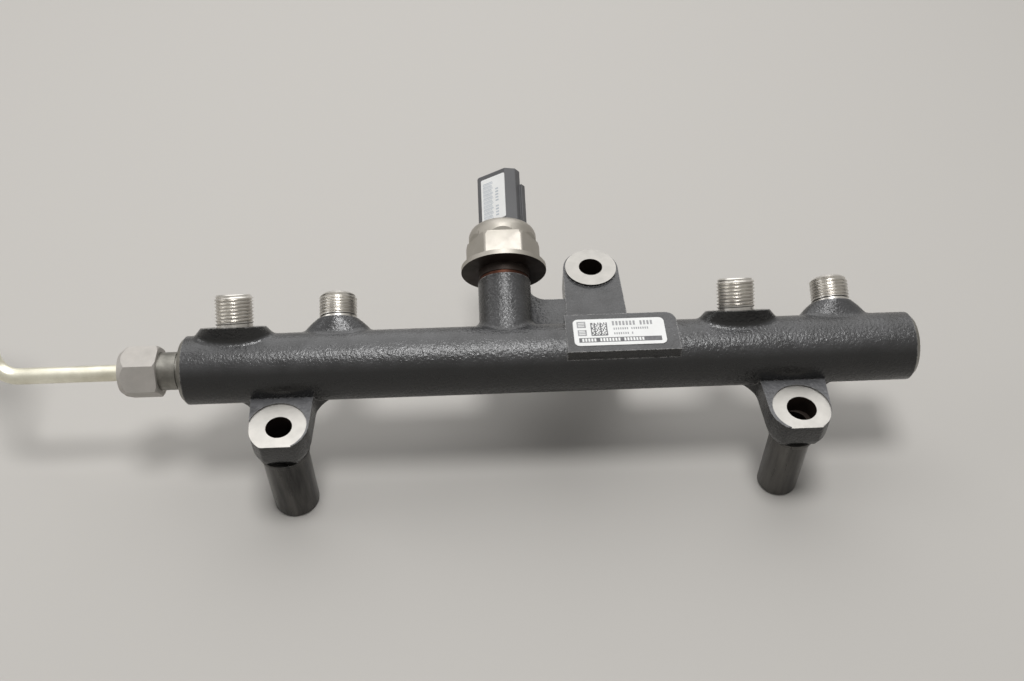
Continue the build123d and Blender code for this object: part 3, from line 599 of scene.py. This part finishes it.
railBody = {
    "left": -128.0 * mm,  # faces of the tube's ends
    "right": 138.0 * mm,
    "endChamfer": 1.6 * mm,
    "bored": 8.2 * mm,
    "spotFace": 10.4 * mm,  # radius of the faced seat round a bolt
    "boltReach": 7.3 * mm,
    "studBare": 6.95 * mm,  # steel shows within this radius of a stud's axis
    "studWall": (5.5 * mm, 7.0 * mm),  # radii between which a stud's outside lies
}
sensorAxis = Vector((0, sin(radians(70)), cos(radians(70))))
plugLow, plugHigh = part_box("end_plug")
railAxis = (plugLow + plugHigh) / 2
seatCentres = {
    "seatLeft": Vector((-92.6, 0, 44)) * mm,
    "seatRight": Vector((93.2, 0, 44)) * mm,
    "seatRear": Vector((24.8, 75, 45)) * mm,
}
for name, centre in seatCentres.items():
    materials[name] = makeSeatFinish(name, centre)


def fromMount(mount, point):
    # distance from the mount's axis, and height above the foot of its smooth neck
    axis = Vector(mount["axis"])
    foot = Vector(mount["pos_m"]) - axis * (mount["dims"]["length_mm"] * mm / 2 + thread["neck"])
    height = (point - foot).dot(axis)
    return (point - foot - axis * height).length, height


def finishOf(face):
    # bare where a cutter worked: studs and their drillings, seats, ends and the main bore
    spots = [vert.co for vert in face.verts]
    for mount in outlets.values():
        reach = [fromMount(mount, spot) for spot in spots]
        if all(away < railBody["studBare"] and height > -near["height"] for away, height in reach):
            return "threadSteel"
    for name, centre in seatCentres.items():
        away = [(spot - centre).xy.length for spot in spots]
        level = all(abs(spot.z - centre.z) < near["level"] for spot in spots)
        if level and all(far < railBody["spotFace"] + near["radius"] for far in away):
            return name
        # bolt bores get the dark finish as painted shade in the holes
        if all(far < railBody["boltReach"] for far in away):
            return "paintedShadeSteel"
    ends = (railBody["left"] + railBody["endChamfer"] + near["end"],
            railBody["right"] - railBody["endChamfer"] - near["end"])
    if all(spot.x < ends[0] for spot in spots) or all(spot.x > ends[1] for spot in spots):
        return "endSteel"
    if all((spot - railAxis).yz.length < railBody["bored"] for spot in spots):
        return "plainSteel"
    return "blackPaint"


flare = {  # where a front lug's sides spread along the tube, its lower edge runs up into it
    "lugs": ((-92.0 * mm, 11.4 * mm), (92.6 * mm, 12.0 * mm)),  # middle, half width
    "level": 36.0 * mm,
    "front": 17.1 * mm,
    "length": 5.6 * mm,
    "rise": 1.95 * mm,
}


def taperFlares(bm):
    for vert in bm.verts:
        if abs(vert.co.z - flare["level"]) > near["height"] or vert.co.y > flare["front"]:
            continue
        for middle, half in flare["lugs"]:
            out = (abs(vert.co.x - middle) - half) / flare["length"]
            if 0 < out < 2:
                share = min(1, out)
                vert.co.z += flare["rise"] * share * share * (3 - 2 * share)


def makeRailBody():
    bm = cadCopy("rail_body")
    taperFlares(bm)
    inner, outer = railBody["studWall"]
    for mount in outlets.values():
        for vert in bm.verts:  # the studs shrink to their core under the turned threads
            away, height = fromMount(mount, vert.co)
            over = height - thread["neck"]
            onThread = away > thread["relief"] + near["radius"] or over > near["radius"]
            if inner < away < outer and over > -near["radius"] and onThread:
                axis = Vector(mount["axis"])
                foot = Vector(mount["pos_m"]) + axis * (vert.co - Vector(mount["pos_m"])).dot(axis)
                vert.co = foot + (vert.co - foot) * thread["core"] / away
    names = ["blackPaint", "threadSteel", "plainSteel", "endSteel", "paintedShadeSteel", *seatCentres]
    for face in bm.faces:
        face.material_index = names.index(finishOf(face))
    shadeByAngle(bm)
    piece = newPiece("railBody", bm, None)
    for name in names:
        piece.data.materials.append(materials[name])
    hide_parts("rail_body")


makeRailBody()
print("rail body dressed")

dressed = {  # node: piece, finish, slot, body, rounded edge
    "end_plug": ("endPlug", "plainSteel", "bare_steel", "rail", 0.15),
    "sleeve_front_left": ("sleeveFrontLeft", "darkSteel", "dark_steel", "rail", 0.2),
    "sleeve_front_right": ("sleeveFrontRight", "darkSteel", "dark_steel", "rail", 0.2),
    "sleeve_rear": ("sleeveRear", "darkSteel", "dark_steel", "rail", 0.2),
    "feed_pipe": ("feedPipe", "zincPipe", "zinc_pipe", "rail", 0.0),
    "union_nut_rail": ("unionNutRail", "zincNut", "zinc_nut", "rail", 0.2),
    "union_nut_pump": ("unionNutPump", "zincNut", "zinc_nut", "pump_nut", 0.2),
    "sensor_housing": ("sensorHousing", "sensorSteel", "sensor_steel", "rail", 0.2),
    # the port under the flange is painted dark as shade
    "sensor_port": ("sensorPort", "paintedShadeSteel", "sensor_steel", "rail", 0.1),
    "sensor_seal_washer": ("sealWasher", "copper", "copper", "rail", 0.15),
    "connector_body": ("connectorBody", "mouldedPlastic", "connector_plastic", "rail", 0.5),
}
kept = {
    "pressure_cell": "plainSteel", "circuit_board": "boardGreen", "connector_o_ring": "sealRubber",
    "contact_spring_1": "contactMetal", "contact_spring_2": "contactMetal",
    "contact_spring_3": "contactMetal", "terminal_1": "contactMetal", "terminal_2": "contactMetal",
    "terminal_3": "contactMetal", "rail_label": "labelFilm", "sensor_label": "labelFilm",
}
shoulder = {
    "flat": 12.25 * mm,  # from the sensor's axis to a flat of its hexagon
    "barrel": 12.9 * mm,  # radius of the round barrel above
    "slope": 2.0,  # the overhang's rim is drawn up by this much of its reach, to run into the flat
}
sleeveSpigot = 6.7 * mm  # within this radius a sleeve is its bore or its spigot


def softenShoulder(bm):
    side = Vector((1, 0, 0)).cross(sensorAxis)
    ways = (Vector((1, 0, 0)), side)
    spans = [[vert.co.dot(way) for vert in bm.verts] for way in ways]
    middle = [(min(span) + max(span)) / 2 for span in spans]
    radial = {vert: [vert.co.dot(way) - at for way, at in zip(ways, middle)] for vert in bm.verts}
    rim = [vert for vert, (x, y) in radial.items()
           if abs(hypot(x, y) - shoulder["barrel"]) < near["rim"]]
    foot = min(vert.co.dot(sensorAxis) for vert in rim)
    low = [vert for vert in rim if vert.co.dot(sensorAxis) < foot + near["height"]]
    ends = [face for face in bm.faces if all(vert in low for vert in face.verts)]
    bmesh.ops.triangulate(bm, faces=ends)
    for vert in low:
        x, y = radial[vert]
        reach = max(x * cos(radians(turn)) + y * sin(radians(turn)) for turn in range(30, 390, 60))
        vert.co += sensorAxis * max(0, reach - shoulder["flat"]) * shoulder["slope"]


def paintBoreShade(piece, node):
    # bore and spigot are painted dark, as shade in the hole
    low, high = (Vector(corner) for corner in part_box(node))
    middle = (low + high) / 2
    piece.data.materials.append(materials["paintedShadeSteel"])
    for face in piece.data.polygons:
        spots = [piece.data.vertices[index].co for index in face.vertices]
        if all((spot - middle).xy.length < sleeveSpigot for spot in spots):
            face.material_index = 1


def dressNodes():
    for node, (name, finish, slot, body, edge) in dressed.items():
        bm = cadCopy(node)
        if node == "sensor_housing":
            softenShoulder(bm)
        shadeByAngle(bm)
        piece = newPiece(name, bm, finish, body)
        if edge:
            roundEdges(piece, edge * mm)
        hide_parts(node)
        if node.startswith("sleeve_"):
            paintBoreShade(piece, node)
        if node == "sensor_housing":  # faces below the flange painted dark, as shade
            piece.data.materials.append(materials["paintedShadeSteel"])
            for face in piece.data.polygons:
                if face.normal.dot(sensorAxis) < -0.5:
                    face.material_index = 1
    for node, finish in kept.items():
        mesh = frame["nodes"][node].data
        mesh.materials.clear()
        mesh.materials.append(materials[finish])


dressNodes()
print(len(dressed) + len(kept), "nodes dressed")

railPrint = {  # millimetres from the label's lower left corner: left, bottom, right, top
    "stamps": ((1.5, 4.7, 4.7, 7.6), (1.4, 8.6, 4.6, 11.7)),
    "code": (6.3, 4.6, 12.3, 11.0),
    "codeCells": 14,
    "rows": (  # the last two: width of a mark, step from mark to mark
        (14.2, 9.4, 29.6, 11.5, 0.75, 1.25),
        (14.5, 7.3, 27.4, 8.3, 0.45, 0.80),
        (14.5, 5.0, 22.4, 6.0, 0.45, 0.80),
    ),
    "rowGap": (9, 7),  # of every nine marks the eighth is left out
    "strip": (1.7, 1.5, 31.3, 3.7),
    "stripText": (2.8, 26.4),
    "stripMarks": 22,
    "stripMark": (0.7, 0.35),  # width of a mark, margin above and below
    "stripGap": (8, 5),
    "stampLines": 3,
    "stampLine": (0.5, 0.55, 0.8, 0.35),  # margin at the sides, first line, step, thickness
    "proud": 0.015,
}
sensorPrint = {  # from the label's lower left corner, with its long side upright
    "field": (0.9, 0.9, 5.6, 17.4),
    "lines": 30,
    "ragged": 0.25,  # step by which the lines end short
    "thick": (0.45, 0.125),  # least share of the step, and what is added to it
    "side": (6.6, 1.6, 8.0, 15.6),
    "sideMarks": 11,
    "sideShare": 0.55,
    "sideGap": (6, 4),
    "proud": 0.015,
}


def labelFrame(node):
    # the outer face's normal, the way of its long side, and its corners
    bm = cadCopy(node)
    face = max(bm.faces, key=lambda each: (round(each.calc_area() / mm ** 2, 1),
                                           each.calc_center_median().z))
    out = face.normal.copy()
    edge = max(face.edges, key=lambda each: each.calc_length())
    long = (edge.verts[1].co - edge.verts[0].co).normalized()
    if long.dot(Vector((1, 1, 1))) < 0:
        long = -long
    spots = [vert.co.copy() for vert in face.verts]
    bm.free()
    return out, long, spots


def addBar(bm, matrix, left, bottom, right, top, height):
    size = Matrix.Diagonal(((right - left) / 2, (top - bottom) / 2, 1, 1))
    place = Matrix.Translation(((left + right) / 2, (bottom + top) / 2, height))
    bmesh.ops.create_grid(bm, x_segments=1, y_segments=1, size=1, matrix=matrix @ place @ size)


def labelMatrix(node, longUp):
    # puts millimetres from the label's lower left corner on its outer face
    out, long, spots = labelFrame(node)
    across = long.cross(out) if longUp else out.cross(long)
    right, up = (across, long) if longUp else (long, across)
    corner = (right * min(spot.dot(right) for spot in spots) + up * min(spot.dot(up) for spot in spots)
              + out * spots[0].dot(out))
    rows = [(right[i] * mm, up[i] * mm, out[i] * mm, corner[i]) for i in range(3)]
    return Matrix((*rows, (0, 0, 0, 1)))


def marked(i, gap):
    # whether mark i is there: one of every so many is left out, as between words
    every, left = gap
    return i % every != left


def makeRailPrint():
    matrix = labelMatrix("rail_label", False)
    height = railPrint["proud"]
    dark = bmesh.new()
    left, bottom, right, top = railPrint["code"]
    cells = railPrint["codeCells"]
    wide, tall = (right - left) / cells, (top - bottom) / cells
    for i in range(cells):
        for j in range(cells):
            if i == 0 or j == 0 or (i * 7 + j * 11 + i * j * 3 + i * i) % 5 < 2:  # a made-up pattern
                addBar(dark, matrix, left + i * wide, bottom + j * tall,
                       left + (i + 1) * wide, bottom + (j + 1) * tall, height)
    addBar(dark, matrix, *railPrint["strip"], height)
    newPiece("railLabelPrint", dark, "labelInk")
    grey = bmesh.new()
    for left, bottom, right, top in railPrint["stamps"]:
        addBar(grey, matrix, left, bottom, right, top, height)
    for left, bottom, right, top, wide, step in railPrint["rows"]:
        for i in range(int((right - left) / step)):
            if marked(i, railPrint["rowGap"]):
                addBar(grey, matrix, left + i * step, bottom, left + i * step + wide, top, height)
    newPiece("railLabelMarks", grey, "greyInk")
    pale = bmesh.new()
    left, bottom, right, top = railPrint["strip"]
    start, stop = railPrint["stripText"]
    wide, margin = railPrint["stripMark"]
    for i in range(railPrint["stripMarks"]):
        if marked(i, railPrint["stripGap"]):
            at = start + i * (stop - start) / railPrint["stripMarks"]
            addBar(pale, matrix, at, bottom + margin, at + wide, top - margin, 2 * height)
    margin, first, step, thick = railPrint["stampLine"]
    for left, bottom, right, top in railPrint["stamps"]:
        for i in range(railPrint["stampLines"]):
            at = bottom + first + i * step
            addBar(pale, matrix, left + margin, at, right - margin, at + thick, 2 * height)
    newPiece("railLabelReverse", pale, "labelFilm")


def makeSensorPrint():
    matrix = labelMatrix("sensor_label", True)
    height = sensorPrint["proud"]
    field = bmesh.new()
    left, bottom, right, top = sensorPrint["field"]
    step = (top - bottom) / sensorPrint["lines"]
    least, more = sensorPrint["thick"]
    for i in range(sensorPrint["lines"]):
        start = bottom + i * step
        end = right - (i * 5 % 4) * sensorPrint["ragged"]
        addBar(field, matrix, left, start, end, start + step * (least + more * (i * 7 % 3)), height)
    left, bottom, right, top = sensorPrint["side"]
    step = (top - bottom) / sensorPrint["sideMarks"]
    for i in range(sensorPrint["sideMarks"]):
        if marked(i, sensorPrint["sideGap"]):
            addBar(field, matrix, left, bottom + i * step,
                   right, bottom + (i + sensorPrint["sideShare"]) * step, height)
    newPiece("sensorLabelPrint", field, "paleInk")


makeRailPrint()
makeSensorPrint()
print("labels printed")
